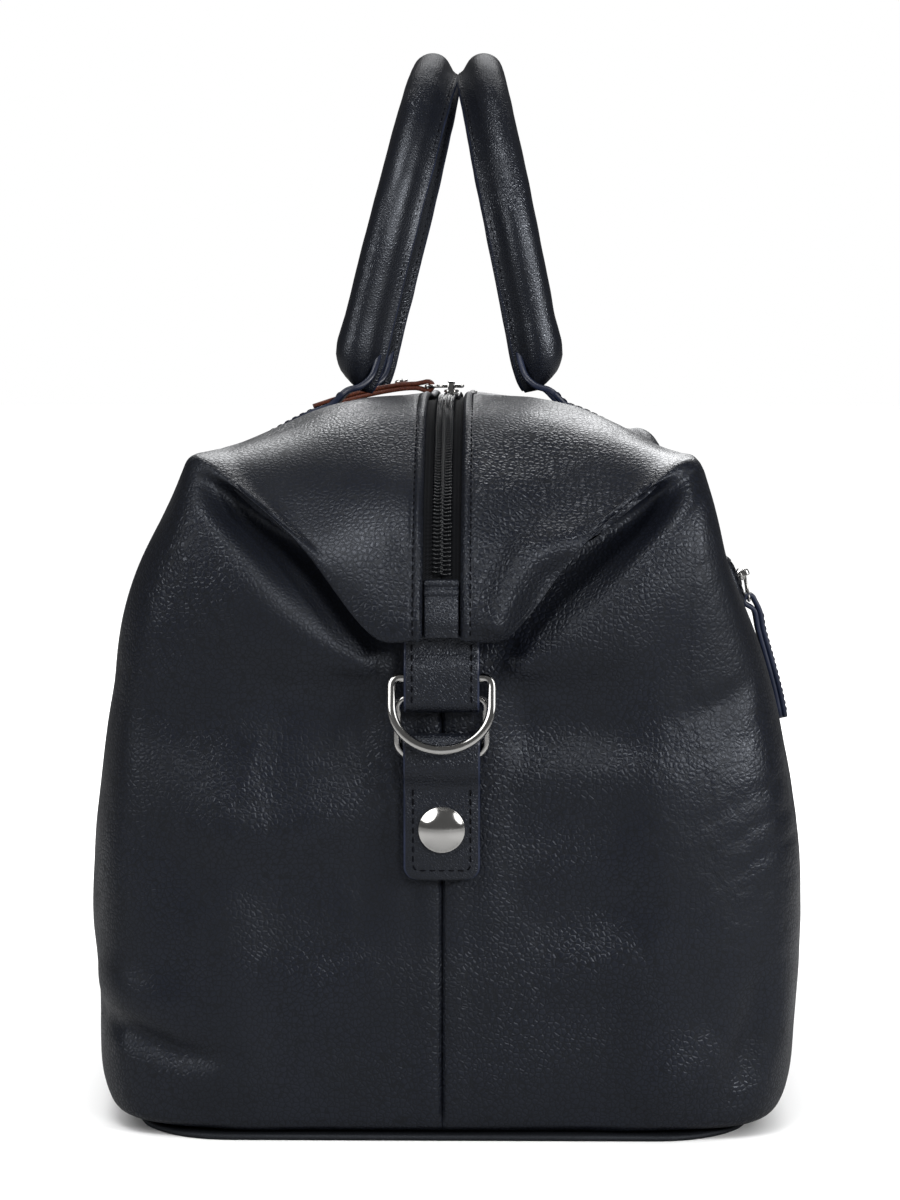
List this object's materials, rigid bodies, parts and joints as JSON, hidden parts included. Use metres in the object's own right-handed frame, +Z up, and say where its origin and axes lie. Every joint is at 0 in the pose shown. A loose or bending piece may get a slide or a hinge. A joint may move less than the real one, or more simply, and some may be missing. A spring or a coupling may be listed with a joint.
{
  "type": "travel bag",
  "caption": "Soft leather travel bag with rolled handles, a zipped top whose ends fold down as strapped wings, swinging shoulder rings and a zip pocket.",
  "frame": {"origin": "middle of the base, on the floor", "axes": "+X across the bag towards the side with the zip pocket, +Y along the bag away from the end seen in the picture, +Z up"},
  "size_m": [0.2798, 0.5034, 0.432],
  "materials": {
    "navy_leather": "soft pebbled navy-black leather with a low sheen",
    "base_leather": "firm navy-black leather, matte",
    "brown_leather": "smooth rust-brown leather",
    "zip_tape": "woven black zip tape",
    "zip_teeth": "black nylon coil",
    "nickel": "polished nickel"
  },
  "bodies": {
    "bag": {"front_panel": "navy_leather", "back_panel": "navy_leather", "front_heel": "navy_leather", "back_heel": "navy_leather", "base_panel": "base_leather", "zip_tape_front": "zip_tape", "zip_tape_back": "zip_tape", "zip_chain": "zip_teeth", "zip_cap_near": "navy_leather", "zip_cap_far": "navy_leather", "zip_slider_near": "nickel", "zip_slider_far": "nickel", "pull_link_near": "nickel", "pull_link_far": "nickel", "pull_tab_near": "brown_leather", "pull_tab_far": "brown_leather", "pull_rivet_near": "nickel", "pull_rivet_far": "nickel", "handle_front": "navy_leather", "handle_back": "navy_leather", "ring_strap_near": "navy_leather", "ring_strap_far": "navy_leather", "keeper_ring_near": "nickel", "keeper_ring_far": "nickel", "snap_tab_near": "navy_leather", "snap_tab_far": "navy_leather", "snap_cap_near": "nickel", "snap_cap_far": "nickel", "pocket_tape": "zip_tape", "pocket_chain": "zip_teeth", "pocket_slider": "nickel", "pocket_link": "nickel", "pocket_pull": "navy_leather"},
    "ring_near": {"shoulder_ring_near": "nickel"},
    "ring_far": {"shoulder_ring_far": "nickel"}
  },
  "joints": [
    {"name": "ring_swing_near", "type": "hinge", "parent": "bag", "child": "ring_near", "pos_m": [0, -0.2406, 0.1765], "axis": [-1, 0, 0], "range_deg": [0, 115]},
    {"name": "ring_swing_far", "type": "hinge", "parent": "bag", "child": "ring_far", "pos_m": [0, 0.2406, 0.1765], "axis": [1, 0, 0], "range_deg": [0, 115]}
  ]
}
